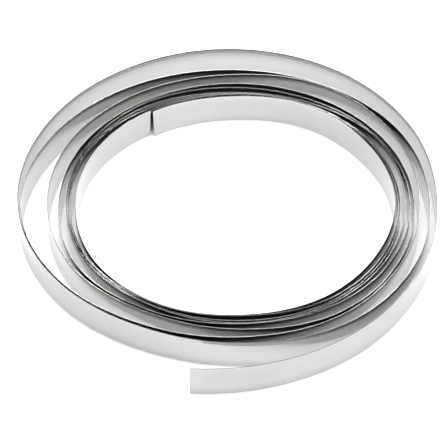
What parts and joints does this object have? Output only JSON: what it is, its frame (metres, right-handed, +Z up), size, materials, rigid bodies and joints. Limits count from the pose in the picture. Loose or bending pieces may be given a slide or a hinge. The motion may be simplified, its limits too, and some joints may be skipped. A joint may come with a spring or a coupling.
{
  "type": "nickel strip",
  "caption": "Coil of thin flat nickel strip standing on its slit edge: sprung-open laps round an open eye, with a loose square-cut tail.",
  "frame": {"origin": "centre of the footprint on the floor: x and y at the middle of the box, z at the lower slit edge", "axes": "+Z up across the strip's width and along the coil's eye; -Y toward the loose tail; +X to the right seen from the tail's side"},
  "size_m": [0.1, 0.1096, 0.008],
  "materials": {
    "nickel": "bright rolled"
  },
  "bodies": {
    "root": {"nickel_strip": "nickel"}
  },
  "joints": []
}
